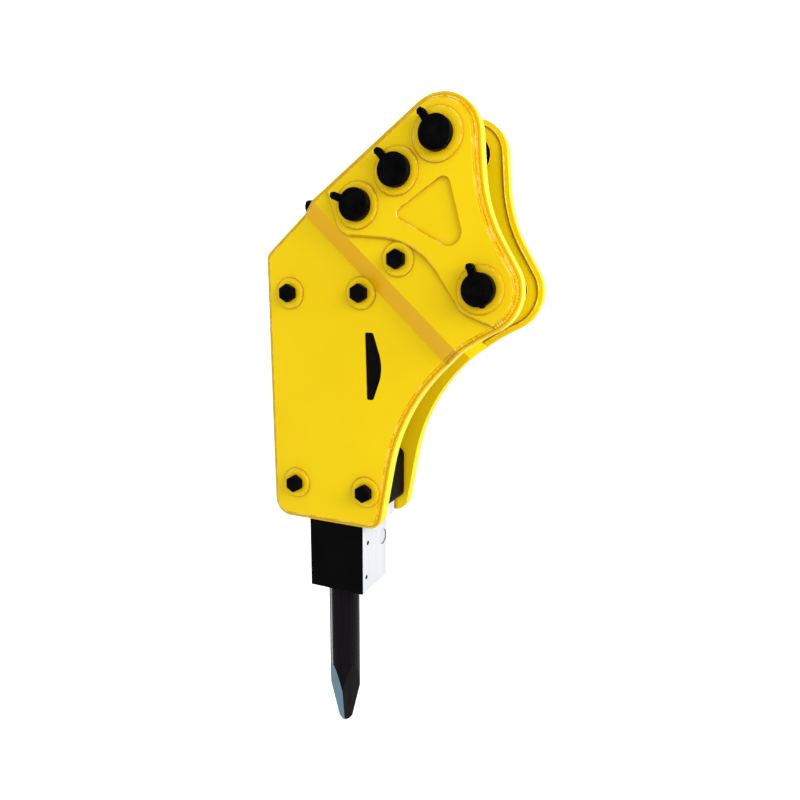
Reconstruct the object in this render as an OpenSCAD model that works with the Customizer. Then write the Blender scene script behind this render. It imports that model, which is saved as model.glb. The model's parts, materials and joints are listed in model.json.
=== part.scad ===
// Side-plate hydraulic breaker hammer for an excavator.
// Z runs up along the tool, Y along the mounting pins, and the origin is the
// centre of the stick pin on the mid-plane. All sizes are in millimetres.

/* [Tool] */
// diameter of the chisel
tool_d = 100; // [80:1:140]
// height of the chisel tip below the stick pin
tool_tip_z = -1450; // [-1700:5:-1300]
// height of the chisel's struck end
tool_top_z = -500; // [-560:5:-460]
// distance of the tool axis behind the stick pin
tool_x = -492; // [-560:1:-440]
// length of the four-sided point
point_len = 220; // [160:5:300]
// travel of the chisel against its retaining pin
tool_travel = 70; // [40:1:90]

/* [Side plates] */
// half the distance between the plates at the body
body_gap_h = 77; // [60:1:120]
// half the distance between the ears
ear_gap_h = 109; // [90:1:170]
// thickness of each cranked side plate
plate_t = 38; // [20:1:50]
// thickness of the outer cover plate
cover_t = 10; // [5:1:16]
// width of the step left bare around the cover plate
rim_w = 15; // [8:1:30]
// thickness of the ear reinforcement
ear_t = 8; // [5:1:16]
// direction of the crank, measured from the X axis to its normal
crank_a = 46.8; // [30:0.1:60]
// where the crank starts, along its normal from the stick pin
crank_s0 = -212; // [-260:1:-160]
// where the crank ends
crank_s1 = -158; // [-200:1:-110]

/* [Mounting pins] */
// diameter of the four mounting pins
pin_d = 65; // [45:1:90]
// radial running clearance of a pin in its ears
pin_clear = 0.08; // [0.02:0.01:0.10]
// diameter of the pin heads
pin_head_d = 86; // [70:1:120]
// thickness of the pin heads
pin_head_t = 22; // [12:1:35]
// diameter of the raised boss around a link pin
boss_d = 118; // [90:1:150]
// thickness of the raised bosses
boss_t = 5; // [2:1:12]

/* [Side bolts] */
// diameter of the side bolts
bolt_d = 30; // [16:1:42]
// width across the flats of their heads
bolt_af = 46; // [24:1:65]
// height of their heads
bolt_head_h = 19; // [10:1:26]
// diameter of the round pad under each head
pad_d = 86; // [60:1:110]

/* [Percussion] */
// stroke of the piston
stroke = 110; // [60:1:160]
// diameter of the piston's working lands
piston_d = 96; // [80:1:120]
// radial running clearance of sliding parts
run = 0.06; // [0.02:0.01:0.10]

/* [Hidden] */

yellow = [0.95, 0.80, 0.04];
black = [0.03, 0.03, 0.035];
steel = [0.62, 0.63, 0.65];
bronze = [0.62, 0.45, 0.22];
rubber = [0.05, 0.05, 0.05];

// mounting pins in the side view: position and boss diameter
stick_at = [0, 0];
upper_at = [-119, 381];
middle_at = [-232, 302];
lower_at = [-346, 223];
pins_at = [stick_at, upper_at, middle_at, lower_at];
// direction of each keeper's long end
stick_key_a = 109;
upper_key_a = 124;
middle_key_a = 129;
lower_key_a = 156;
// side bolts in the side view
body_bolts = [[-592, -8], [-357, -8], [-584, -585], [-346, -585]];
tie_at = [-229, 80];

// faces of the plates, outwards from the mid-plane
body_out = body_gap_h + plate_t;
ear_out = ear_gap_h + plate_t;
cover_body = body_out + cover_t;
cover_ear = ear_out + cover_t;
ear_face = cover_ear + ear_t;
boss_face = ear_face + boss_t;
pad_t = 6;
ear_washer_d = 112;
ear_washer_t = 5;

// outline of a side plate: corner point and corner radius
plate_pts = [
  [-671, -700, 52], [-307, -700, 42], [-220, -225, 555], [150, -55, 113],
  [2, 200, 410], [-29, 573, 108], [-541, 217.5, 60], [-678, 104, 32]
];
// lower edge of the ear reinforcement, closed far outside the plate
ear_pts = [
  [-458, 330, 0], [-400, 152, 46], [-171, 128, 220], [-46, -58, 60],
  [152, -132, 0], [300, -132, 0], [300, 700, 0], [-600, 700, 0]
];
recess_pts = [[-92, 294, 22], [-32, 74, 34], [-248, 196, 16]];
// window for the side buffer
window_pts = [[-341, -309, 5], [-320, -309, 8], [-287, -218, 130], [-320, -117, 8], [-346, -117, 5]];

// percussion levels
head_x = tool_x + 20;
head_w = 188;
head_d = 176;
head_bot = -933;
head_mid = -706;
head_top = -400;
tool_pin_y = 56;
tool_pin_z = -793;
tool_pin_r = 20;
body_x0 = -630;
body_x1 = -342;
cyl_top = -30;
back_top = 128;
rod_r = 43;
top_rod_r = 38;
piston_z0 = tool_top_z + tool_travel + 1;
rods_at = [[-68, -47], [68, -47], [-68, 47], [68, 47]];
rod_d = 30;
valve_x = -306;

// ---- outline helpers ----

function vec2(a, b) = [b[0] - a[0], b[1] - a[1]];
function unit(v) = v / norm(v);
function cross2(a, b) = a[0] * b[1] - a[1] * b[0];
// points of one rounded corner at q, between its neighbours p and r
function corner(p, q, r) =
  let (u = unit(vec2(q, p)), v = unit(vec2(q, r)), half = acos(u * v) / 2)
  let (t = q[2] / tan(half), sgn = cross2(u, v) > 0 ? -1 : 1)
  let (c = [q[0], q[1]] + unit(u + v) * q[2] / sin(half))
  let (a = [q[0], q[1]] + u * t - c, sweep = 180 - 2 * half)
  let (n = max(2, ceil(sweep / 5), ceil(sweep * q[2] / 1600)))
  [for (i = [0 : n])
    let (g = sgn * sweep * i / n)
    [c[0] + a[0] * cos(g) - a[1] * sin(g), c[1] + a[0] * sin(g) + a[1] * cos(g)]];
function rounded(v) =
  let (m = len(v))
  [for (i = [0 : m - 1])
    each v[i][2] > 0 ? corner(v[(i + m - 1) % m], v[i], v[(i + 1) % m]) : [[v[i][0], v[i][1]]]];

// corner list moved inwards by d; the list runs counter-clockwise
function inset(v, d) =
  let (m = len(v))
  [for (i = [0 : m - 1])
    let (q = v[i], u = unit(vec2(v[(i + m - 1) % m], q)), w = unit(vec2(q, v[(i + 1) % m])))
    let (turn = cross2(u, w), n1 = [-u[1], u[0]], n2 = [-w[1], w[0]])
    let (k = d / (1 + n1 * n2), r = turn > 0 ? max(q[2] - d, 1) : q[2] + d)
    [q[0] + (n1[0] + n2[0]) * k, q[1] + (n1[1] + n2[1]) * k, q[2] > 0 ? r : 0]];

module plate_outline(d = 0) {
  polygon(rounded(inset(plate_pts, d)));
}

// 2D shape in the side view, drawn between two Y positions
module slab(y0, y1) {
  translate([0, y1, 0])
  rotate([90, 0, 0])
  linear_extrude(height = y1 - y0)
  children();
}

// round bar along Y
module bar_y(p, r, y0, y1, f = 64) {
  translate([p[0], y1, p[1]])
  rotate([90, 0, 0])
  cylinder(r = r, h = y1 - y0, $fn = f);
}

module bar_x(y, z, r, x0, x1, f = 64) {
  translate([x0, y, z])
  rotate([0, 90, 0])
  cylinder(r = r, h = x1 - x0, $fn = f);
}

module bar_z(x, y, r, z0, z1, f = 96) {
  translate([x, y, z0])
  cylinder(r = r, h = z1 - z0, $fn = f);
}

module box(x0, x1, y0, y1, z0, z1) {
  translate([x0, y0, z0])
  cube([x1 - x0, y1 - y0, z1 - z0]);
}

// block with rounded upright edges
module round_block(x0, x1, yh, z0, z1, r) {
  pts = [[x0, -yh, r], [x1, -yh, r], [x1, yh, r], [x0, yh, r]];
  translate([0, 0, z0])
  linear_extrude(height = z1 - z0)
  polygon(rounded(pts));
}

// hexagon along Y with a corner pointing up
module hex_y(p, af, y0, y1) {
  translate([p[0], y1, p[1]])
  rotate([90, 0, 0])
  rotate([0, 0, 30])
  cylinder(r = af / sqrt(3), h = y1 - y0, $fn = 6);
}

// chamfered hexagon head: hexagon trimmed by a flat cone
module hex_head_y(p, af, y0, y1) {
  intersection() {
    hex_y(p, af, y0, y1);
    translate([p[0], y1, p[1]])
    rotate([90, 0, 0])
    cylinder(r1 = af / 2 - 1, r2 = af / 2 - 1 + 2.2 * (y1 - y0), h = y1 - y0, $fn = 48);
  }
}

// right side (+Y) as built, left side as its mirror image
module side(s) {
  if (s > 0) children();
  else mirror([0, 1, 0]) children();
}

// slab that follows the crank, between two faces of the body part
module cranked(y0, y1) {
  step = ear_gap_h - body_gap_h;
  far = 1700;
  prof = [
    [-far, y0], [crank_s0, y0], [crank_s1, y0 + step], [far, y0 + step],
    [far, y1 + step], [crank_s1, y1 + step], [crank_s0, y1], [-far, y1]
  ];
  rotate([0, -crank_a, 0])
  linear_extrude(height = 2600, center = true)
  polygon(prof);
}

module pin_bores(y0, y1) {
  for (p = pins_at) bar_y(p, pin_d / 2 + pin_clear, y0, y1, 96);
}

module bolt_holes(y0, y1, r) {
  for (p = body_bolts) bar_y(p, r, y0, y1, 48);
}

// ---- side plates ----

module side_plate(s) {
  color(yellow)
  side(s)
  difference() {
    intersection() {
      slab(body_gap_h - 5, ear_out + 5) plate_outline();
      cranked(body_gap_h, body_out);
    }
    pin_bores(ear_gap_h - 5, ear_out + 5);
    bolt_holes(body_gap_h - 5, body_out + 5, bolt_d / 2 + 0.1);
    bar_y(tie_at, bolt_d / 2 + 0.5, ear_gap_h - 5, ear_out + 5, 48);
    slab(body_gap_h - 5, body_out + 5) polygon(rounded(window_pts));
  }
}
module side_plate_left() side_plate(-1);
module side_plate_right() side_plate(1);

module cover_plate(s) {
  color(yellow)
  side(s)
  difference() {
    intersection() {
      slab(body_out - 5, cover_ear + 5) plate_outline(rim_w);
      cranked(body_out, cover_body);
    }
    pin_bores(ear_out - 5, cover_ear + 5);
    bolt_holes(body_out - 5, cover_body + 5, bolt_d / 2 + 0.1);
    bar_y(tie_at, bolt_d / 2 + 0.5, ear_out - 5, cover_ear + 5, 48);
    slab(body_out - 5, cover_body + 5) polygon(rounded(window_pts));
  }
}
module cover_plate_left() cover_plate(-1);
module cover_plate_right() cover_plate(1);

module ear_doubler(s) {
  color(yellow)
  side(s)
  difference() {
    slab(cover_ear, ear_face)
    difference() {
      intersection() {
        plate_outline(rim_w + 5);
        polygon(rounded(ear_pts));
      }
      polygon(rounded(recess_pts));
    }
    pin_bores(cover_ear - 5, ear_face + 5);
  }
}
module ear_doubler_left() ear_doubler(-1);
module ear_doubler_right() ear_doubler(1);

module pin_bosses(s) {
  color(yellow)
  side(s)
  for (p = pins_at)
    difference() {
      bar_y(p, p == upper_at ? boss_d / 2 + 5 : boss_d / 2, ear_face, boss_face, 96);
      bar_y(p, pin_d / 2 + pin_clear, ear_face - 5, boss_face + 5, 96);
    }
}
module pin_bosses_left() pin_bosses(-1);
module pin_bosses_right() pin_bosses(1);

module bolt_pads(s) {
  color(yellow)
  side(s) {
    for (p = body_bolts)
      difference() {
        bar_y(p, pad_d / 2, cover_body, cover_body + pad_t, 72);
        bar_y(p, bolt_d / 2 + 0.1, cover_body - 5, cover_body + pad_t + 5, 48);
        cranked(body_out, cover_body);
      }
    difference() {
      bar_y(tie_at, pad_d / 2, cover_ear, cover_ear + pad_t, 72);
      bar_y(tie_at, bolt_d / 2 + 0.5, cover_ear - 5, cover_ear + pad_t + 5, 48);
    }
  }
}
module bolt_pads_left() bolt_pads(-1);
module bolt_pads_right() bolt_pads(1);

// black buffer block that fills the window of a side plate
module side_buffer(s) {
  color(rubber)
  side(s) {
    slab(body_gap_h, cover_body - 3)
    polygon(rounded(inset(window_pts, 0.3)));
  }
}
module side_buffer_left() side_buffer(-1);
module side_buffer_right() side_buffer(1);

// ---- side bolts ----

module side_bolts(s) {
  y_seat = cover_body + pad_t;
  color(black)
  side(s)
  for (p = body_bolts) {
    union() {
      bar_y(p, bolt_d / 2, 42, y_seat + 4, 48);
      mirror([0, 1, 0]) hex_head_y(p, bolt_af, -y_seat - bolt_head_h, -y_seat);
    }
  }
}
module side_bolts_left() side_bolts(-1);
module side_bolts_right() side_bolts(1);

module tie_bolt() {
  y_seat = cover_ear + pad_t;
  color(black)
  union() {
    bar_y(tie_at, bolt_d / 2, -y_seat - 4, y_seat + 30, 48);
    hex_head_y(tie_at, bolt_af, -y_seat - bolt_head_h, -y_seat);
  }
}

module tie_nut() {
  y_seat = cover_ear + pad_t;
  color(black)
  difference() {
    mirror([0, 1, 0]) hex_head_y(tie_at, bolt_af, -y_seat - 24, -y_seat);
    bar_y(tie_at, bolt_d / 2 + 0.05, y_seat - 5, y_seat + 40, 48);
  }
}

// wear washers round the pins, on the inner faces of the ears
module ear_washers(s) {
  color(black)
  side(s)
  for (p = pins_at)
    difference() {
      bar_y(p, ear_washer_d / 2, ear_gap_h - ear_washer_t, ear_gap_h, 96);
      bar_y(p, pin_d / 2 + 1, ear_gap_h - ear_washer_t - 5, ear_gap_h + 5, 96);
    }
}
module ear_washers_left() ear_washers(-1);
module ear_washers_right() ear_washers(1);

module tie_spacer() {
  color(black)
  difference() {
    bar_y(tie_at, 28, -ear_gap_h, ear_gap_h, 64);
    bar_y(tie_at, bolt_d / 2 + 0.5, -ear_gap_h - 5, ear_gap_h + 5, 48);
  }
}

// ---- mounting pins ----

key_t = 12;
key_w = 20;
key_y = -boss_face - 0.3 - pin_head_t;

// pin with its head outside the left boss and a slot for the keeper
module mount_pin(p, a) {
  y1 = boss_face + 8;
  groove_w = 3.5;
  span_half = ear_gap_h - groove_w - 1.5;
  color(black)
  difference() {
    union() {
      bar_y(p, pin_d / 2, -boss_face - 2, y1 - 6, 96);
      translate([p[0], y1, p[1]])
      rotate([90, 0, 0])
      cylinder(r1 = pin_d / 2 - 6, r2 = pin_d / 2, h = 6, $fn = 96);
      bar_y(p, pin_head_d / 2, key_y + 2, -boss_face - 0.3, 96);
      translate([p[0], key_y + 2, p[1]])
      rotate([90, 0, 0])
      cylinder(r1 = pin_head_d / 2, r2 = pin_head_d / 2 - 2, h = 2, $fn = 96);
    }
    translate([p[0], 0, p[1]])
    rotate([0, -a, 0])
    box(-80, 80, -key_w / 2 - 0.1 + key_y + key_t / 2 - 8, key_y + key_t, -key_w / 2 - 0.1, key_w / 2 + 0.1);
    // grease groove just inside each ear
    for (y = [-span_half - groove_w, span_half])
      difference() {
        bar_y(p, pin_d, y, y + groove_w, 96);
        bar_y(p, pin_d / 2 - 1.5, y - 5, y + groove_w + 5, 96);
      }
  }
}

// bar across the pin head; its long end is bolted to the boss
module keeper(p, a) {
  long_end = pin_head_d / 2 + 15;
  short_end = pin_head_d / 2 + 5;
  color(black)
  translate([p[0], 0, p[1]])
  rotate([0, -a, 0])
  difference() {
    union() {
      box(-short_end + 8, long_end, key_y - 2, key_y + key_t, -key_w / 2, key_w / 2);
      bar_y([long_end, 0], key_w / 2, key_y - 2, key_y + key_t, 48);
      bar_y([-short_end + 8, 0], 8, key_y - 2, key_y + key_t, 48);
    }
    bar_y([long_end, 0], 6.1, key_y - 20, key_y + key_t + 5, 32);
  }
}

// bolt through the long end of the keeper
module keeper_bolt(p, a) {
  color(black)
  translate([p[0], 0, p[1]])
  rotate([0, -a, 0])
  union() {
    bar_y([pin_head_d / 2 + 15, 0], 6, key_y - 4, -boss_face - 0.6, 32);
    hex_head_y([pin_head_d / 2 + 15, 0], 18, key_y - 9.5, key_y - 2);
  }
}

module stick_pin() mount_pin(stick_at, stick_key_a);
module stick_pin_keeper() keeper(stick_at, stick_key_a);
module stick_pin_bolt() keeper_bolt(stick_at, stick_key_a);
module link_pin_upper() mount_pin(upper_at, upper_key_a);
module link_pin_upper_keeper() keeper(upper_at, upper_key_a);
module link_pin_upper_bolt() keeper_bolt(upper_at, upper_key_a);
module link_pin_middle() mount_pin(middle_at, middle_key_a);
module link_pin_middle_keeper() keeper(middle_at, middle_key_a);
module link_pin_middle_bolt() keeper_bolt(middle_at, middle_key_a);
module link_pin_lower() mount_pin(lower_at, lower_key_a);
module link_pin_lower_keeper() keeper(lower_at, lower_key_a);
module link_pin_lower_bolt() keeper_bolt(lower_at, lower_key_a);

// ---- front head and tool ----

bush_r = tool_d / 2 + 9;
tool_run = 0.08;
bush_lock_y = -bush_r - 2;
bush_lock_z = -885;
nipple_y = -50;
nipple_z = -776;
hx0 = head_x - head_w / 2;
hx1 = head_x + head_w / 2;

module front_head() {
  side_r = 22;
  color(black)
  difference() {
    union() {
      // lower block below the plates
      round_block(hx0, hx1, head_d / 2, head_bot, head_mid, 6);
      // body clamped between the plates
      round_block(body_x0, body_x1, body_gap_h, head_mid, head_top, 12);
      // stepped shoulder on the stick side
      slab(-body_gap_h, body_gap_h)
      polygon(rounded([[-368, -655, 0], [-312, -655, side_r], [-312, -492, side_r], [-368, -492, 0]]));
    }
    // tool guide, bush seats and thrust ring seat
    bar_z(tool_x, 0, tool_d / 2 + 4, head_bot - 5, head_top + 5);
    bar_z(tool_x, 0, bush_r, head_bot + 22, -826);
    bar_z(tool_x, 0, bush_r + 5, head_bot - 5, head_bot + 22);
    bar_z(tool_x, 0, bush_r, -640, -520);
    bar_z(tool_x, 0, 58, -640, head_top + 5);
    bar_z(tool_x, 0, bush_r, -520, head_top + 5);
    // retaining pin, its plug seat, bush lock pin and grease way
    bar_x(tool_pin_y, tool_pin_z, tool_pin_r, hx0 + 12, hx1 + 5);
    bar_x(tool_pin_y, tool_pin_z, 8, hx0 - 5, hx0 + 20, 32);
    bar_x(tool_pin_y, tool_pin_z, 25, hx1 - 8, hx1 + 5);
    bar_x(bush_lock_y, bush_lock_z, 7, hx0 + 20, hx1 + 5, 32);
    bar_x(nipple_y, nipple_z, 7, hx1 - 14, hx1 + 5, 32);
    bar_x(nipple_y, nipple_z, 3, tool_x, hx1, 24);
    // side bolt threads and through-bolt threads
    for (p = body_bolts) bar_y(p, bolt_d / 2 + 0.1, 40, 100, 48);
    for (p = body_bolts) bar_y(p, bolt_d / 2 + 0.1, -100, -40, 48);
    for (q = rods_at) bar_z(tool_x + q[0], q[1], rod_d / 2 + 0.1, -482, head_top + 5, 48);
  }
}

module lower_bush() {
  color(bronze)
  difference() {
    bar_z(tool_x, 0, bush_r, head_bot + 22, -826);
    bar_z(tool_x, 0, tool_d / 2 + tool_run, head_bot - 5, -800);
    bar_x(bush_lock_y, bush_lock_z, 7, hx0 - 5, hx1 + 5, 32);
  }
}

module upper_bush() {
  color(bronze)
  difference() {
    bar_z(tool_x, 0, bush_r, -640, -520);
    bar_z(tool_x, 0, tool_d / 2 + tool_run, -650, -510);
  }
}

module thrust_ring() {
  color(steel)
  difference() {
    bar_z(tool_x, 0, bush_r, piston_z0 - 0.5, head_top);
    bar_z(tool_x, 0, rod_r + 1, piston_z0 - 5, head_top + 5);
  }
}

module tool_pin() {
  color(steel)
  bar_x(tool_pin_y, tool_pin_z, tool_pin_r, hx0 + 12, hx1 - 8);
}

module tool_pin_plug() {
  color(steel)
  bar_x(tool_pin_y, tool_pin_z, 25, hx1 - 8, hx1 - 3);
}

module bush_lock_pin() {
  color(steel)
  bar_x(bush_lock_y, bush_lock_z, 7, hx0 + 20, hx1 - 4, 32);
}

module grease_nipple() {
  color(steel)
  union() {
    bar_x(nipple_y, nipple_z, 7, hx1 - 14, hx1 - 6, 32);
    bar_x(nipple_y, nipple_z, 3.5, hx1 - 8, hx1 - 1, 32);
  }
}

module dust_seal() {
  color(rubber)
  difference() {
    bar_z(tool_x, 0, bush_r + 5, head_bot + 2, head_bot + 22);
    bar_z(tool_x, 0, tool_d / 2 + tool_run, head_bot - 5, head_bot + 30);
  }
}

module chisel() {
  r = tool_d / 2;
  tip_h = 14;
  grow = (r - tip_h) / point_len;
  flat = tool_pin_y - tool_pin_r - 0.5;
  color(black)
  difference() {
    intersection() {
      union() {
        bar_z(tool_x, 0, r, tool_tip_z, tool_top_z - 6);
        translate([tool_x, 0, tool_top_z - 6])
        cylinder(r1 = r, r2 = r - 6, h = 6, $fn = 96);
      }
      // four-sided point
      union() {
        translate([tool_x, 0, tool_tip_z])
        rotate([0, 0, 17])
        cylinder(r1 = tip_h * sqrt(2), r2 = (tip_h + grow * 320) * sqrt(2), h = 320, $fn = 4);
        bar_z(tool_x, 0, r + 5, tool_tip_z + 300, tool_top_z + 5);
      }
      // blunted tip
      union() {
        translate([tool_x, 0, tool_tip_z])
        cylinder(r1 = 9, r2 = 24, h = 14, $fn = 48);
        bar_z(tool_x, 0, r + 5, tool_tip_z + 13, tool_top_z + 5);
      }
    }
    // notch for the retaining pin
    box(tool_x - 60, tool_x + 60, flat, 70, tool_pin_z - tool_pin_r - tool_travel - 4, tool_pin_z + tool_pin_r + 0.4);
  }
}

// ---- cylinder, piston and back head ----

module rod_holes(z0, z1) {
  for (q = rods_at) bar_z(tool_x + q[0], q[1], rod_d / 2 + 1, z0, z1, 48);
}

module cylinder_body() {
  color(black)
  difference() {
    round_block(body_x0, body_x1, body_gap_h - 1, head_top, cyl_top, 12);
    bar_z(tool_x, 0, rod_r + run, head_top - 5, -340);
    bar_z(tool_x, 0, piston_d / 2 + run, -345, -55);
    bar_z(tool_x, 0, 58, -60, cyl_top + 5);
    // oil grooves
    bar_z(tool_x, 0, 53, -345, -325);
    bar_z(tool_x, 0, 53, -150, -135);
    rod_holes(head_top - 5, cyl_top + 5);
    // oil ways to the valve
    bar_x(0, -335, 8, tool_x, body_x1 + 5, 32);
    bar_x(0, -142, 8, tool_x, body_x1 + 5, 32);
  }
}

module seal_retainer() {
  color(bronze)
  difference() {
    bar_z(tool_x, 0, 58, -60, 10);
    bar_z(tool_x, 0, top_rod_r + run, -65, 15);
    for (z = [-44, -22, -2])
      bar_z(tool_x, 0, top_rod_r + 5, z - 3, z + 3);
  }
}

module piston_seals() {
  color(rubber)
  for (z = [-44, -22, -2])
    difference() {
      bar_z(tool_x, 0, top_rod_r + 5, z - 3, z + 3);
      bar_z(tool_x, 0, top_rod_r + run, z - 10, z + 10);
    }
}

module piston() {
  z0 = piston_z0;
  color(steel)
  difference() {
    union() {
      translate([tool_x, 0, z0])
      cylinder(r1 = rod_r - 4, r2 = rod_r, h = 4, $fn = 96);
      bar_z(tool_x, 0, rod_r, z0 + 4, z0 + 105);
      bar_z(tool_x, 0, piston_d / 2, z0 + 105, z0 + 250);
      bar_z(tool_x, 0, top_rod_r, z0 + 250, z0 + 417);
    }
    difference() {
      bar_z(tool_x, 0, piston_d / 2 + 5, z0 + 165, z0 + 190);
      bar_z(tool_x, 0, piston_d / 2 - 5, z0 + 160, z0 + 195);
    }
  }
}

module back_head() {
  color(black)
  difference() {
    union() {
      round_block(body_x0, body_x1, body_gap_h, cyl_top, 60, 12);
      round_block(tool_x - 112, tool_x + 112, body_gap_h - 1, 60, back_top, 20);
    }
    // seal retainer seat and gas chamber
    bar_z(tool_x, 0, 58, cyl_top - 5, 10);
    bar_z(tool_x, 0, 50, 5, 108);
    bar_x(0, 40, 10, tool_x - 140, tool_x - 40, 32);
    bar_x(0, 40, 4, tool_x - 80, tool_x, 24);
    rod_holes(cyl_top - 5, 84);
    for (q = rods_at) bar_z(tool_x + q[0], q[1], 27, 80, back_top + 5, 48);
    for (p = body_bolts) bar_y(p, bolt_d / 2 + 0.1, 40, 100, 48);
    for (p = body_bolts) bar_y(p, bolt_d / 2 + 0.1, -100, -40, 48);
  }
}

module gas_valve() {
  color(steel)
  union() {
    bar_x(0, 40, 10, tool_x - 138, tool_x - 96, 32);
    bar_x(0, 40, 15, tool_x - 152, tool_x - 140, 6);
    bar_x(0, 40, 9, tool_x - 152, tool_x - 136, 32);
  }
}

module through_bolts() {
  color(steel)
  for (q = rods_at) bar_z(tool_x + q[0], q[1], rod_d / 2, -480, 118, 48);
}

module through_bolt_washers() {
  color(steel)
  for (q = rods_at)
    difference() {
      bar_z(tool_x + q[0], q[1], 26.5, 80, 85, 48);
      bar_z(tool_x + q[0], q[1], rod_d / 2 + 0.3, 75, 90, 48);
    }
}

module through_bolt_nuts() {
  color(black)
  for (q = rods_at)
    difference() {
      bar_z(tool_x + q[0], q[1], 26.5, 85, 109, 6);
      bar_z(tool_x + q[0], q[1], rod_d / 2 + 0.05, 80, 120, 48);
    }
}

// ---- control valve on the stick side of the cylinder ----

module valve_box() {
  color(black)
  difference() {
    round_block(body_x1, -270, body_gap_h, -326, -120, 8);
    bar_z(valve_x, 0, 20 + run, -306, -115);
    bar_x(0, -300, 8, body_x1 - 5, valve_x, 32);
    bar_x(0, -142, 8, body_x1 - 5, valve_x, 32);
    for (y = [-40, 40]) bar_z(valve_x, y, 6.1, -160, -115, 32);
  }
}

module valve_spool() {
  color(steel)
  difference() {
    bar_z(valve_x, 0, 20, -304, -146, 72);
    for (z = [-270, -215, -180])
      difference() {
        bar_z(valve_x, 0, 25, z - 9, z + 9, 72);
        bar_z(valve_x, 0, 14, z - 12, z + 12, 72);
      }
  }
}

module valve_cap() {
  color(black)
  difference() {
    round_block(-338, -274, 58, -120, -100, 8);
    for (y = [-40, 40]) bar_z(valve_x, y, 6.5, -125, -95, 32);
  }
}

module valve_cap_bolts() {
  color(steel)
  for (y = [-40, 40])
    union() {
      bar_z(valve_x, y, 6, -155, -98, 32);
      bar_z(valve_x, y, 9.5, -100, -88, 32);
    }
}

// ---- hose connections ----

port_y = 36;
port_z = 246;
port_tip = -579;
port_x0 = -486;
port_x1 = -434;

module port_block() {
  color(black)
  difference() {
    slab(-62, 62)
    polygon(rounded([[port_x0, back_top, 0], [port_x1, back_top, 0], [port_x1, 280, 12], [port_x0, 280, 12]]));
    for (y = [-port_y, port_y]) {
      bar_x(y, port_z, 14, port_x0 - 5, port_x0 + 34, 48);
      bar_z(port_x0 + 26, y, 8, back_top + 14, port_z, 32);
    }
  }
}

module port_adapter(y) {
  color(black)
  difference() {
    union() {
      bar_x(y, port_z, 14, port_x0 - 2, port_x0 + 20, 48);
      bar_x(y, port_z, 26, port_x0 - 26, port_x0, 6);
      bar_x(y, port_z, 19, port_tip + 30, port_x0 - 24, 64);
      bar_x(y, port_z, 21, port_tip, port_tip + 30, 64);
    }
    bar_x(y, port_z, 8, port_tip - 5, port_x0 + 25, 48);
    bar_x(y, port_z, 13, port_tip - 5, port_tip + 26, 48);
  }
}
module pressure_port() port_adapter(-port_y);
module return_port() port_adapter(port_y);

// ---- parts ----

side_plate_left();
side_plate_right();
cover_plate_left();
cover_plate_right();
ear_doubler_left();
ear_doubler_right();
pin_bosses_left();
pin_bosses_right();
bolt_pads_left();
bolt_pads_right();
side_buffer_left();
side_buffer_right();
side_bolts_left();
side_bolts_right();
tie_bolt();
tie_nut();
tie_spacer();
ear_washers_left();
ear_washers_right();
stick_pin();
stick_pin_keeper();
stick_pin_bolt();
link_pin_upper();
link_pin_upper_keeper();
link_pin_upper_bolt();
link_pin_middle();
link_pin_middle_keeper();
link_pin_middle_bolt();
link_pin_lower();
link_pin_lower_keeper();
link_pin_lower_bolt();
front_head();
lower_bush();
upper_bush();
thrust_ring();
tool_pin();
tool_pin_plug();
bush_lock_pin();
grease_nipple();
dust_seal();
chisel();
cylinder_body();  // cylinder
seal_retainer();
piston_seals();
piston();
back_head();
gas_valve();
through_bolts();
through_bolt_washers();
through_bolt_nuts();
valve_box();
valve_spool();
valve_cap();
valve_cap_bolts();
port_block();
pressure_port();
return_port();
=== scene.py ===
"""Looks of the side-plate hydraulic breaker hammer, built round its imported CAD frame."""

import json
import math
import random

import bmesh
import bpy
from mathutils import Matrix, Vector
from mathutils.bvhtree import BVHTree


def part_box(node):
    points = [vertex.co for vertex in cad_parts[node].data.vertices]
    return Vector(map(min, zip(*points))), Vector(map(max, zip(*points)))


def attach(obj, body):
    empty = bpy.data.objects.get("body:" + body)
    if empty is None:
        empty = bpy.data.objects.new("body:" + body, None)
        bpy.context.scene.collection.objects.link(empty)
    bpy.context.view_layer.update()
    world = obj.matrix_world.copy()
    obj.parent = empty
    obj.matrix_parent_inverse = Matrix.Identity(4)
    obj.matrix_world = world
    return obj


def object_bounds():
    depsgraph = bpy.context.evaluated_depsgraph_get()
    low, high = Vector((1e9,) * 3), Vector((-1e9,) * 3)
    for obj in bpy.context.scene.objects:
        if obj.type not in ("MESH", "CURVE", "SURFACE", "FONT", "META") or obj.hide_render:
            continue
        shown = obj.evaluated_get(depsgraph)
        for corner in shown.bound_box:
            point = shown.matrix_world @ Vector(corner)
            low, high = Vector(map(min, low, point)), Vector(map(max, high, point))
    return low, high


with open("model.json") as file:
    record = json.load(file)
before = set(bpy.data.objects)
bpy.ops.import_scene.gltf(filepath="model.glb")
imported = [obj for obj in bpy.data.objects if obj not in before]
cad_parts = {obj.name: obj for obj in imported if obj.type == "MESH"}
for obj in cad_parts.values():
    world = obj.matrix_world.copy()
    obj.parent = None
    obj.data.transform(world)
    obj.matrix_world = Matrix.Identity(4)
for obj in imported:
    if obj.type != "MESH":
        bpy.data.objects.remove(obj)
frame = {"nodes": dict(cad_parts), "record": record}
CAD_BOX = [list(corner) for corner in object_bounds()]
NODES = frame["nodes"]
SCENE = bpy.context.scene
MM = 0.001
PINS = 4
PADS_PER_SIDE = 5
# heights above the lowest point of a node: the top of the head's pale face painted as glare, the
# chisel's ground point
GLARE_FACE_TOP = 0.275
GROUND_TOP = 0.232
YELLOW_SHEEN = (1.0, 0.82, 0.15, 1.0)
# grey of the black parts' outside edges: partly edge wear, partly painted highlight
BLACK_WEAR_AND_GLINT = (0.16, 0.16, 0.17)

# ---------------------------------------------------------------- node helpers


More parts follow.
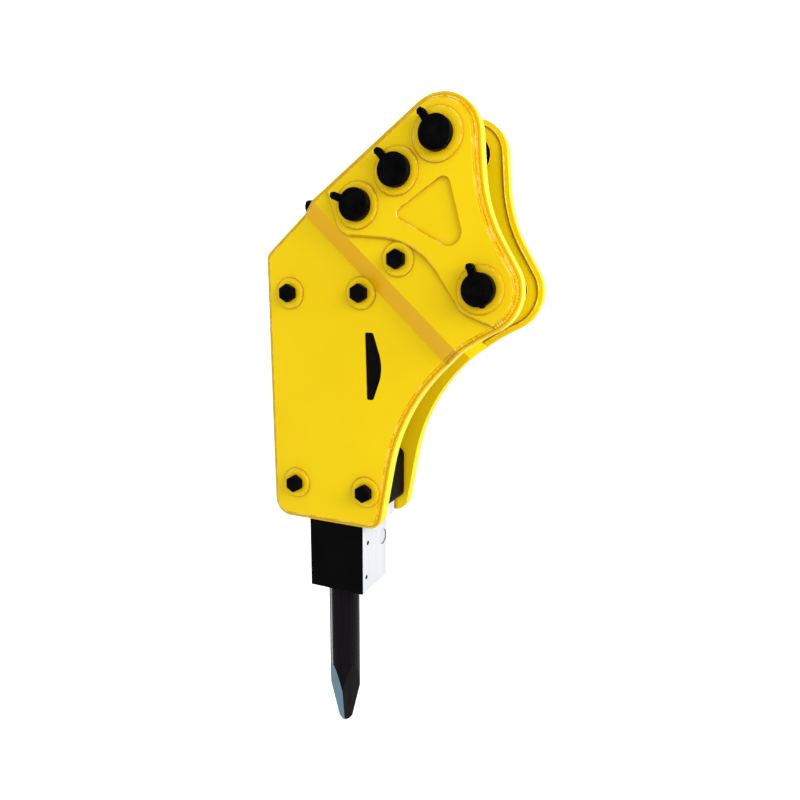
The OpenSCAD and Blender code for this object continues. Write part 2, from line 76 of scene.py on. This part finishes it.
class Tree:
    """A short way to write a material's nodes."""

    def __init__(self, name):
        self.mat = bpy.data.materials.new(name)
        self.mat.use_nodes = True
        self.nt = self.mat.node_tree
        self.bsdf = self.nt.nodes["Principled BSDF"]
        self.coord = self.nt.nodes.new("ShaderNodeTexCoord")
        self.geo = self.nt.nodes.new("ShaderNodeNewGeometry")

    def set(self, **values):
        for key, value in values.items():
            self.bsdf.inputs[key.replace("_", " ")].default_value = value

    def link(self, a, b):
        self.nt.links.new(a, b)

    def to(self, socket, name):
        self.link(socket, self.bsdf.inputs[name])

    def place(self, stretch=(1, 1, 1)):
        m = self.nt.nodes.new("ShaderNodeMapping")
        m.inputs["Scale"].default_value = stretch
        self.link(self.coord.outputs["Object"], m.inputs["Vector"])
        return m.outputs["Vector"]

    def noise(self, scale, detail=4.0, rough=0.5, stretch=(1, 1, 1)):
        n = self.nt.nodes.new("ShaderNodeTexNoise")
        n.inputs["Scale"].default_value = scale
        n.inputs["Detail"].default_value = detail
        n.inputs["Roughness"].default_value = rough
        self.link(self.place(stretch), n.inputs["Vector"])
        return n.outputs["Fac"]

    def ramp(self, fac, low, high, a=0.0, b=1.0):
        n = self.nt.nodes.new("ShaderNodeMapRange")
        n.inputs["From Min"].default_value = low
        n.inputs["From Max"].default_value = high
        n.inputs["To Min"].default_value = a
        n.inputs["To Max"].default_value = b
        self.link(fac, n.inputs["Value"])
        return n.outputs["Result"]

    def math(self, op, a, b):
        n = self.nt.nodes.new("ShaderNodeMath")
        n.operation = op
        for socket, value in zip(n.inputs, (a, b)):
            if isinstance(value, (int, float)):
                socket.default_value = value
            else:
                self.link(value, socket)
        return n.outputs[0]

    def mix(self, fac, a, b):
        n = self.nt.nodes.new("ShaderNodeMix")
        n.data_type = "RGBA"
        for socket, value in ((n.inputs[0], fac), (n.inputs[6], a), (n.inputs[7], b)):
            if isinstance(value, (int, float)):
                socket.default_value = value
            elif isinstance(value, tuple):
                socket.default_value = (*value, 1.0)
            else:
                self.link(value, socket)
        return n.outputs[2]

    def dot(self, vector, direction):
        n = self.nt.nodes.new("ShaderNodeVectorMath")
        n.operation = "DOT_PRODUCT"
        self.link(vector, n.inputs[0])
        if isinstance(direction, tuple):
            n.inputs[1].default_value = direction
        else:
            self.link(direction, n.inputs[1])
        return n.outputs["Value"]

    def edges(self, radius):
        """1 on sharp outside edges, 0 on flat areas."""
        b = self.nt.nodes.new("ShaderNodeBevel")
        b.samples = 6
        b.inputs["Radius"].default_value = radius
        d = self.dot(b.outputs["Normal"], self.geo.outputs["True Normal"])
        return self.ramp(d, 0.80, 0.99, 1.0, 0.0)

    def soft_edges(self, radius, height, strength, distance):
        """Rounds the shading of edges and bumps it by a height."""
        b = self.nt.nodes.new("ShaderNodeBevel")
        b.samples = 6
        b.inputs["Radius"].default_value = radius
        bump = self.nt.nodes.new("ShaderNodeBump")
        bump.inputs["Strength"].default_value = strength
        bump.inputs["Distance"].default_value = distance
        self.link(height, bump.inputs["Height"])
        self.link(b.outputs["Normal"], bump.inputs["Normal"])
        self.to(bump.outputs["Normal"], "Normal")

    def crevice_shade(self, distance):
        """1 deep in corners, 0 on open faces."""
        n = self.nt.nodes.new("ShaderNodeAmbientOcclusion")
        n.samples = 8
        n.inputs["Distance"].default_value = distance
        return self.ramp(n.outputs["AO"], 0.35, 0.95, 1.0, 0.0)

    def object_axis(self, axis):
        s = self.nt.nodes.new("ShaderNodeSeparateXYZ")
        self.link(self.coord.outputs["Object"], s.inputs[0])
        return s.outputs[axis]


# ---------------------------------------------------------------- materials


def yellow_paint():
    t = Tree("yellow_paint")
    broad = t.ramp(t.noise(2.3, 5.0, 0.55), 0.35, 0.70)
    colour = t.mix(broad, (0.80, 0.590, 0.003), (0.755, 0.535, 0.003))
    speck = t.ramp(t.noise(55.0, 3.0, 0.6), 0.62, 0.80)
    colour = t.mix(t.math("MULTIPLY", speck, 0.12), colour, (0.55, 0.33, 0.004))
    # painted shade: the enamel darkens to amber deep in corners, creases and along seams, where
    # shade falls
    colour = t.mix(t.math("MULTIPLY", t.crevice_shade(0.016), 0.80), colour, (0.50, 0.22, 0.001))
    # painted shade: faces turned downwards and to the side, such as the cranked band between body
    # and ear, are tinted a darker amber
    under = t.ramp(t.dot(t.geo.outputs["True Normal"], (0.0, 0.0, -1.0)), 0.15, 0.33)
    facing = t.math("ABSOLUTE", t.dot(t.geo.outputs["True Normal"], (0.0, 1.0, 0.0)), 0.0)
    band_shade = t.math("MULTIPLY", under, t.ramp(facing, 0.6, 0.7, 0.0, 0.9))
    colour = t.mix(band_shade, colour, (0.77, 0.42, 0.001))
    # lighter yellow in patches along outside edges: partly chipped edge wear, partly painted
    # highlight along the edges
    chips_and_glint = t.math("MULTIPLY", t.edges(0.0025), t.ramp(t.noise(38.0, 6.0, 0.7), 0.50, 0.62))
    colour = t.mix(t.math("MULTIPLY", chips_and_glint, 0.6), colour, (0.85, 0.70, 0.16))
    t.to(colour, "Base Color")
    t.to(t.ramp(t.noise(9.0, 5.0), 0.3, 0.7, 0.30, 0.44), "Roughness")
    t.set(Coat_Weight=0.10, Coat_Roughness=0.12, Specular_IOR_Level=0.20)
    t.set(Specular_Tint=YELLOW_SHEEN)
    peel = t.math("ADD", t.noise(420.0, 2.0), t.math("MULTIPLY", t.noise(60.0, 3.0), 1.6))
    t.soft_edges(0.0022, peel, 0.16, 0.0005)
    return t.mat


def weld_paint():
    """Same enamel over a weld, painted a darker amber as shade and darker still in its toe, with
    painted highlights in pale dashes along its crest.
    """
    t = Tree("weld_paint")
    lift = t.nt.nodes.new("ShaderNodeAttribute")
    lift.attribute_name = "lift"
    lift = lift.outputs["Fac"]
    tone = t.ramp(t.noise(120.0, 4.0), 0.35, 0.7)
    # painted shade: the bead's whole body is a darker amber than the plates' enamel
    body = t.mix(tone, (0.74, 0.48, 0.003), (0.62, 0.36, 0.002))
    # painted shade, darker still, in the toe of the bead
    toe = t.ramp(lift, 0.35, 0.80, 1.0, 0.0)
    colour = t.mix(t.math("MULTIPLY", toe, 0.9), body, (0.40, 0.18, 0.001))
    # painted highlight: pale dashes along the crest
    highlight_dashes = t.ramp(t.noise(24.0, 3.0, 0.6), 0.49, 0.57)
    crest = t.math("MULTIPLY", t.ramp(lift, 0.70, 0.95), highlight_dashes)
    colour = t.mix(t.math("MULTIPLY", crest, 0.95), colour, (1.0, 0.93, 0.46))
    t.to(colour, "Base Color")
    t.to(t.ramp(t.noise(80.0, 3.0), 0.3, 0.7, 0.20, 0.34), "Roughness")
    t.set(Coat_Weight=0.05, Coat_Roughness=0.12, Specular_IOR_Level=0.2)
    t.set(Specular_Tint=YELLOW_SHEEN)
    t.soft_edges(0.0008, t.noise(500.0, 3.0), 0.25, 0.0004)
    return t.mat


def black_coat(t):
    """Black enamel, grey in patches along its outside edges: partly edge wear, partly painted
    highlight.
    """
    tone = t.ramp(t.noise(7.0, 6.0, 0.6), 0.35, 0.7)
    coat = t.mix(tone, (0.0006, 0.0006, 0.0006), (0.0016, 0.0016, 0.0018))
    wear_and_glint = t.math("MULTIPLY", t.edges(0.002), t.ramp(t.noise(45.0, 6.0, 0.7), 0.48, 0.64))
    return t.mix(t.math("MULTIPLY", wear_and_glint, 0.5), coat, BLACK_WEAR_AND_GLINT)


def black_paint():
    t = Tree("black_paint")
    t.to(black_coat(t), "Base Color")
    t.to(t.ramp(t.noise(16.0, 5.0), 0.3, 0.7, 0.34, 0.52), "Roughness")
    t.set(Specular_IOR_Level=0.03)
    cast = t.math("ADD", t.noise(180.0, 4.0), t.math("MULTIPLY", t.noise(40.0, 3.0), 1.5))
    t.soft_edges(0.002, cast, 0.22, 0.0006)
    return t.mat


def head_face():
    """X just inside the head's stick side, where the retaining pin's plug sits."""
    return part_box("tool_pin_plug")[0][0] - 0.004


def head_material():
    """Black cast head whose stick side below the plates is painted pale grey: a painted reflection
    of glare on its black paint.
    """
    t = Tree("head_paint")
    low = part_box("front_head")[0]
    streak = t.ramp(t.noise(30.0, 5.0, 0.6, (1, 1, 0.08)), 0.3, 0.75)
    # painted reflection: pale grey standing in for glare on the black paint of the stick side
    pale = t.mix(streak, (0.52, 0.54, 0.57), (0.44, 0.47, 0.51))
    facing = t.ramp(t.dot(t.geo.outputs["True Normal"], (1.0, 0.0, 0.0)), 0.92, 0.97)
    outer = t.ramp(t.object_axis("X"), head_face(), head_face() + 0.004)
    top = low[2] + GLARE_FACE_TOP
    below = t.ramp(t.object_axis("Z"), top, top + 0.002, 1.0, 0.0)
    mask = t.math("MULTIPLY", t.math("MULTIPLY", facing, below), outer)
    t.to(t.mix(mask, black_coat(t), pale), "Base Color")
    t.to(t.ramp(t.noise(16.0, 5.0), 0.3, 0.7, 0.30, 0.48), "Roughness")
    t.set(Specular_IOR_Level=0.03)
    t.soft_edges(0.002, t.noise(150.0, 4.0), 0.15, 0.0005)
    return t.mat


def black_steel():
    t = Tree("black_steel")
    tone = t.ramp(t.noise(30.0, 5.0, 0.6), 0.35, 0.7)
    colour = t.mix(tone, (0.0006, 0.0006, 0.0006), (0.003, 0.003, 0.0035))
    # grey in patches along outside edges: partly edge wear, partly painted highlight along the
    # edges
    wear_and_glint = t.math("MULTIPLY", t.edges(0.0012), t.ramp(t.noise(90.0, 6.0, 0.7), 0.54, 0.66))
    colour = t.mix(t.math("MULTIPLY", wear_and_glint, 0.25), colour, (0.10, 0.10, 0.11))
    t.to(colour, "Base Color")
    t.to(t.ramp(t.noise(60.0, 4.0), 0.3, 0.7, 0.28, 0.46), "Roughness")
    t.set(Specular_IOR_Level=0.02)
    t.soft_edges(0.0012, t.noise(260.0, 4.0), 0.18, 0.0004)
    return t.mat


def tool_steel():
    """Oiled black chisel with drawn streaks and two ground facets on its point, their pale
    blue-grey partly bare ground steel, partly painted reflection.
    """
    t = Tree("tool_steel")
    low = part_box("chisel")[0]
    streak = t.ramp(t.noise(34.0, 6.0, 0.6, (1, 1, 0.03)), 0.35, 0.72)
    colour = t.mix(streak, (0.0006, 0.0005, 0.0008), (0.007, 0.006, 0.009))
    side = t.dot(t.geo.outputs["True Normal"], (-0.469, -0.883, 0.0))
    ground = t.ramp(t.math("ABSOLUTE", side, 0.0), 0.972, 0.980)
    top = low[2] + GROUND_TOP
    tip = t.ramp(t.object_axis("Z"), top, top + 0.004, 1.0, 0.0)
    flat = t.ramp(t.dot(t.geo.outputs["True Normal"], (0.0, 0.0, -1.0)), 0.08, 0.12)
    mask = t.math("MULTIPLY", t.math("MULTIPLY", ground, tip), flat)
    # the facets' pale blue-grey: partly bare ground steel, partly painted reflection
    grind = t.ramp(t.noise(60.0, 5.0, 0.6, (1, 1, 0.15)), 0.3, 0.75)
    ground_facet_and_reflection = t.mix(grind, (0.135, 0.235, 0.300), (0.110, 0.195, 0.255))
    t.to(t.mix(mask, colour, ground_facet_and_reflection), "Base Color")
    drawn = t.ramp(t.noise(40.0, 5.0, 0.6, (1, 1, 0.1)), 0.3, 0.7, 0.10, 0.22)
    t.to(t.math("ADD", drawn, t.math("MULTIPLY", mask, 0.6)), "Roughness")
    t.set(Specular_IOR_Level=0.06)
    t.soft_edges(0.0015, t.noise(90.0, 5.0, 0.6, (1, 1, 0.12)), 0.2, 0.0004)
    return t.mat


def bare_steel():
    t = Tree("bare_steel")
    streak = t.ramp(t.noise(60.0, 5.0, 0.6, (1, 1, 0.15)), 0.3, 0.75)
    t.to(t.mix(streak, (0.55, 0.56, 0.58), (0.36, 0.37, 0.39)), "Base Color")
    t.to(t.ramp(t.noise(50.0, 4.0), 0.3, 0.7, 0.20, 0.38), "Roughness")
    t.set(Metallic=1.0)
    t.soft_edges(0.001, t.noise(200.0, 4.0), 0.1, 0.0003)
    return t.mat


def pale_steel():
    """Face of the retaining pin's plug, flush with the pale side of the head and painted pale like
    it: a painted reflection of glare.
    """
    t = Tree("pale_steel")
    streak = t.ramp(t.noise(45.0, 5.0, 0.6, (1, 1, 0.2)), 0.3, 0.75)
    t.to(t.mix(streak, (0.50, 0.52, 0.55), (0.42, 0.45, 0.49)), "Base Color")
    t.to(t.ramp(t.noise(50.0, 4.0), 0.3, 0.7, 0.28, 0.42), "Roughness")
    t.soft_edges(0.001, t.noise(200.0, 4.0), 0.1, 0.0003)
    return t.mat


def bronze():
    t = Tree("bronze")
    tone = t.ramp(t.noise(40.0, 5.0, 0.6), 0.3, 0.75)
    t.to(t.mix(tone, (0.55, 0.34, 0.12), (0.38, 0.22, 0.08)), "Base Color")
    t.to(t.ramp(t.noise(80.0, 4.0), 0.3, 0.7, 0.25, 0.42), "Roughness")
    t.set(Metallic=1.0)
    t.soft_edges(0.001, t.noise(200.0, 4.0), 0.1, 0.0003)
    return t.mat


def rubber():
    t = Tree("rubber")
    tone = t.ramp(t.noise(25.0, 5.0, 0.6), 0.3, 0.75)
    t.to(t.mix(tone, (0.0008, 0.0008, 0.0008), (0.004, 0.004, 0.004)), "Base Color")
    t.to(t.ramp(t.noise(60.0, 4.0), 0.3, 0.7, 0.55, 0.75), "Roughness")
    t.set(Specular_IOR_Level=0.04)
    t.soft_edges(0.0015, t.noise(400.0, 4.0), 0.2, 0.0005)
    return t.mat


MATERIALS = {
    "yellow_paint": yellow_paint(),
    "black_paint": black_paint(),
    "black_steel": black_steel(),
    "tool_steel": tool_steel(),
    "steel": bare_steel(),
    "bronze": bronze(),
    "rubber": rubber(),
}
WELD = weld_paint()
OWN = {"front_head": head_material(), "tool_pin_plug": pale_steel()}


def paint_nodes():
    """Gives every CAD node the procedural material of its slot."""
    slots = {s["node"]: s["material_slot"] for s in frame["record"]["subparts"]}
    for name, obj in NODES.items():
        mat = OWN.get(name) or MATERIALS[slots[name]]
        obj.data.materials.clear()
        obj.data.materials.append(mat)


# ---------------------------------------------------------------- weld beads


def cap_loops(name, outward):
    """Closed loops where a plate's flat face meets its edge walls, in order round the face."""
    bm = bmesh.new()
    bm.from_mesh(NODES[name].data)
    bmesh.ops.remove_doubles(bm, verts=bm.verts, dist=0.02 * MM)
    bm.normal_update()
    edges = []
    for e in bm.edges:
        if len(e.link_faces) != 2:
            continue
        ny = sorted(f.normal.y * outward for f in e.link_faces)
        if abs(ny[0]) < 0.3 and ny[1] > 0.7:
            edges.append(e)
    loops = chain(edges)
    bm.free()
    return loops


def chain(edges):
    """Closed loops of points from loose edges, longest first."""
    links = {}
    for e in edges:
        a, b = e.verts
        links.setdefault(a, []).append(b)
        links.setdefault(b, []).append(a)
    loops, seen = [], set()
    for start in links:
        if start in seen or len(links[start]) != 2:
            continue
        loop, here, last = [start], start, None
        seen.add(start)
        while True:
            step = [v for v in links[here] if v is not last and v not in seen]
            if not step:
                break
            last, here = here, step[0]
            seen.add(here)
            loop.append(here)
        loops.append([v.co.copy() for v in loop])
    return sorted(loops, key=length, reverse=True)


def length(loop):
    return sum((loop[i] - loop[i - 1]).length for i in range(len(loop)))


def resample(loop, step):
    """The closed loop again with evenly spaced points."""
    total = length(loop)
    n = max(12, round(total / step))
    points, i, run = [], 0, 0.0
    seg = (loop[1] - loop[0]).length
    for k in range(n):
        want = total * k / n
        while run + seg < want and i < len(loop) - 1:
            run += seg
            i += 1
            seg = (loop[(i + 1) % len(loop)] - loop[i]).length
        f = (want - run) / seg if seg > 0 else 0.0
        points.append(loop[i].lerp(loop[(i + 1) % len(loop)], min(max(f, 0.0), 1.0)))
    return points


# points across a bead, distance between its sections, pitch of its ripples in millimetres
RING = 7
STEP = 1.6 * MM
PITCH = 7.0
RIM_INSET = 15.0 * MM


def ripples(count, size, rng):
    """Bead sizes along a run: stacked ripples and a slow wander."""
    sizes, wander = [], 0.0
    for i in range(count):
        wander = 0.9 * wander + 0.1 * rng.uniform(-1, 1)
        phase = (i * STEP / MM / PITCH) % 1.0
        sizes.append(size * (1.0 + 0.16 * (0.5 - phase) + 0.35 * wander))
    return sizes


def turn(points):
    """1 when a closed loop runs anticlockwise in X and Z, else -1."""
    area = sum(a.x * b.z - b.x * a.z for a, b in zip(points[-1:] + points[:-1], points))
    return 1 if area > 0 else -1


def across(points, i):
    """Unit vector in X and Z from point i towards the inside of its closed loop."""
    t = points[(i + 2) % len(points)] - points[i - 2]
    return Vector((-t.z, 0, t.x)).normalized()


def bead(name, loop, side, size, rng):
    """A fillet weld along a closed loop at the foot of a plate's edge."""
    pts = resample(loop, STEP)
    up, way = Vector((0, side, 0)), -turn(pts)
    sizes = ripples(len(pts), size, rng)
    outs = [across(pts, i) * way for i in range(len(pts))]
    rings = [section(*item, up, math.pi / 2) for item in zip(pts, outs, sizes)]
    weld_mesh(name, rings, True)


def section(p, out, size, up, arc):
    """A bulged round from the bead's toe over its crest, and its root in the plate."""
    ring = []
    for k in range(RING):
        a = arc * k / (RING - 1)
        fat = size * (1.0 + 0.12 * abs(math.sin(2 * a)))
        ring.append(p + out * fat * math.cos(a) + up * fat * math.sin(a))
    ring.append(p - (out + up) * 0.2 * MM)
    return ring


def inner_rim(hand, side, rng):
    """A seam round the ear on the inside of the plate, set in from its edge."""
    name = "side_plate_" + hand
    pts = resample(cap_loops(name, -side)[0], STEP)
    way = turn(pts)
    spread = max(abs(p.y) for p in pts)
    on_ear = [abs(p.y) > spread - 0.5 * MM for p in pts]
    first = next(i for i in range(len(pts)) if on_ear[i] and not on_ear[i - 1])
    order = [(first + k) % len(pts) for k in range(sum(on_ear))]
    bm = bmesh.new()
    bm.from_mesh(NODES[name].data)
    wall = BVHTree.FromBMesh(bm)
    bm.free()
    up, sizes, sections = Vector((0, -side, 0)), ripples(len(order), 3.0 * MM, rng), []
    for i, size in zip(order, sizes):
        inward = across(pts, i) * way
        p = pts[i] + inward * RIM_INSET
        hit = wall.ray_cast(Vector((p.x, 0, p.z)), -up)[0]
        if hit is not None:
            sections.append(section(hit, inward, size, up, math.pi))
    weld_mesh("inner_rim_weld_" + hand, sections, False)


def weld_mesh(name, sections, closed):
    """One weld from its sections, with the lift from toe to crest that its paint reads."""
    row, n = len(sections[0]), len(sections)
    verts = [tuple(v) for ring in sections for v in ring]
    faces = []
    for i in range(n if closed else n - 1):
        j = (i + 1) % n
        for k in range(row):
            m = (k + 1) % row
            faces.append((i * row + k, j * row + k, j * row + m, i * row + m))
    if not closed:
        faces.append(tuple(range(row)))
        faces.append(tuple((n - 1) * row + k for k in reversed(range(row))))
    mesh = bpy.data.meshes.new(name)
    mesh.from_pydata(verts, [], faces)
    bm = bmesh.new()
    bm.from_mesh(mesh)
    bmesh.ops.recalc_face_normals(bm, faces=bm.faces)
    bm.to_mesh(mesh)
    bm.free()
    lift = mesh.attributes.new("lift", "FLOAT", "POINT")
    for i in range(n):
        for k in range(row):
            lift.data[i * row + k].value = min(k, RING - 1) / (RING - 1)
    mesh.polygons.foreach_set("use_smooth", [True] * len(mesh.polygons))
    obj = bpy.data.objects.new(name, mesh)
    SCENE.collection.objects.link(obj)
    mesh.materials.append(WELD)
    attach(obj, "housing")


def weld_side(hand, side, rng):
    """All the seams of one side: cover plate, doubler, bosses, washers, pads and inner rim."""
    cover = cap_loops("cover_plate_" + hand, -side)
    bead("cover_weld_" + hand, cover[0], side, 8.0 * MM, rng)
    ear = cap_loops("ear_doubler_" + hand, -side)
    bead("ear_weld_" + hand, ear[0], side, 5.0 * MM, rng)
    bead("recess_weld_" + hand, ear[1], side, 5.0 * MM, rng)
    for i, loop in enumerate(cap_loops("pin_bosses_" + hand, -side)[:PINS]):
        bead(f"boss_weld_{hand}_{i}", loop, side, 4.0 * MM, rng)
    for i, loop in enumerate(cap_loops("ear_washers_" + hand, side)[:PINS]):
        bead(f"washer_weld_{hand}_{i}", loop, -side, 4.0 * MM, rng)
    for i, loop in enumerate(cap_loops("bolt_pads_" + hand, -side)[:PADS_PER_SIDE]):
        bead(f"pad_weld_{hand}_{i}", loop, side, 3.6 * MM, rng)
    inner_rim(hand, side, rng)


# ---------------------------------------------------------------- stage


FLOOR_RADIUS = 30
DOME_RADIUS = 29
FLOOR_GAP = 0.004


def glow(name, colour, strength):
    """A pale studio surface that also gives off a little light of its own."""
    t = Tree(name)
    tone = t.ramp(t.noise(0.6, 3.0), 0.3, 0.7)
    t.to(t.mix(tone, colour, tuple(0.985 * c for c in colour)), "Base Color")
    t.set(Roughness=0.9, Specular_IOR_Level=0.05, Emission_Strength=strength)
    t.set(Emission_Color=(1, 1, 1, 1))
    return t.mat


def stage():
    """Pale floor under the tip that casts and bounces nothing, and a dome only the camera sees."""
    bottom = CAD_BOX[0][2]
    bpy.ops.mesh.primitive_circle_add(vertices=96, radius=FLOOR_RADIUS, fill_type="NGON",
                                      location=(0, 0, bottom - FLOOR_GAP))
    ground = bpy.context.object
    ground.name = "floor"
    ground.data.materials.append(glow("floor", (0.90, 0.90, 0.90), 0.45))
    ground.visible_diffuse = False
    ground.visible_glossy = False
    ground.visible_shadow = False
    bpy.ops.mesh.primitive_uv_sphere_add(segments=64, ring_count=32, radius=DOME_RADIUS,
                                         location=(0, 0, bottom))
    dome = bpy.context.object
    dome.name = "backdrop"
    dome.data.materials.append(glow("backdrop", (0.90, 0.90, 0.90), 1.2))
    for name in ("diffuse", "glossy", "transmission", "shadow"):
        setattr(dome, "visible_" + name, False)


def light(name, place, target, size, power, colour=(1, 1, 1)):
    """A rectangular area light that the camera does not see."""
    data = bpy.data.lights.new(name, "AREA")
    data.shape = "RECTANGLE"
    data.size, data.size_y = size
    data.energy = power
    data.color = colour
    obj = bpy.data.objects.new(name, data)
    obj.location = place
    aim = Vector(target) - Vector(place)
    obj.rotation_euler = aim.to_track_quat("-Z", "Y").to_euler()
    obj.visible_camera = False
    SCENE.collection.objects.link(obj)


def lights():
    """Soft key, a cool panel below for the chisel's edge, a thin light along the plates' edges."""
    centre = (-0.35, 0.0, -0.4)
    light("key", (5.0, -2.0, 1.9), centre, (3.2, 3.2), 300)
    light("panel", (-4.2, 0.15, -3.6), (-0.49, 0.0, -1.2), (1.3, 1.9), 75, (0.66, 0.86, 1.0))
    light("edge", (1.3, -0.205, -0.1), (0.0, -0.1, -0.1), (0.02, 1.6), 13)
    world = bpy.data.worlds.new("studio")
    world.use_nodes = True
    sky = world.node_tree.nodes["Background"].inputs
    sky["Color"].default_value = (1.0, 0.95, 0.90, 1)
    sky["Strength"].default_value = 0.93
    SCENE.world = world


# focal length in widths of the frame, angles in degrees, place in metres
FOCAL_PER_WIDTH = 617.51 / 800
AZIMUTH, TILT, ROLL = 24.237, 9.468, 0.215
CAMERA_AT = (0.4627, -1.6774, -0.0181)


def camera():
    """The camera that the scene is seen from."""
    th, ph, ro = (math.radians(a) for a in (AZIMUTH, TILT, ROLL))
    fwd = Vector((-math.sin(th) * math.cos(ph), math.cos(th) * math.cos(ph), -math.sin(ph)))
    right = Vector((math.cos(th), math.sin(th), 0))
    up = right.cross(fwd)
    r2 = right * math.cos(ro) + up * math.sin(ro)
    u2 = -right * math.sin(ro) + up * math.cos(ro)
    data = bpy.data.cameras.new("camera")
    data.sensor_width = 36
    data.lens = 36 * FOCAL_PER_WIDTH
    data.clip_end = 200
    obj = bpy.data.objects.new("camera", data)
    obj.matrix_world = Matrix((
        (r2.x, u2.x, -fwd.x, CAMERA_AT[0]),
        (r2.y, u2.y, -fwd.y, CAMERA_AT[1]),
        (r2.z, u2.z, -fwd.z, CAMERA_AT[2]),
        (0, 0, 0, 1)))
    SCENE.collection.objects.link(obj)
    SCENE.camera = obj


camera()
lights()
stage()
paint_nodes()
weld_side("left", -1, random.Random(7))
weld_side("right", 1, random.Random(11))
SCENE.view_settings.view_transform = "Standard"
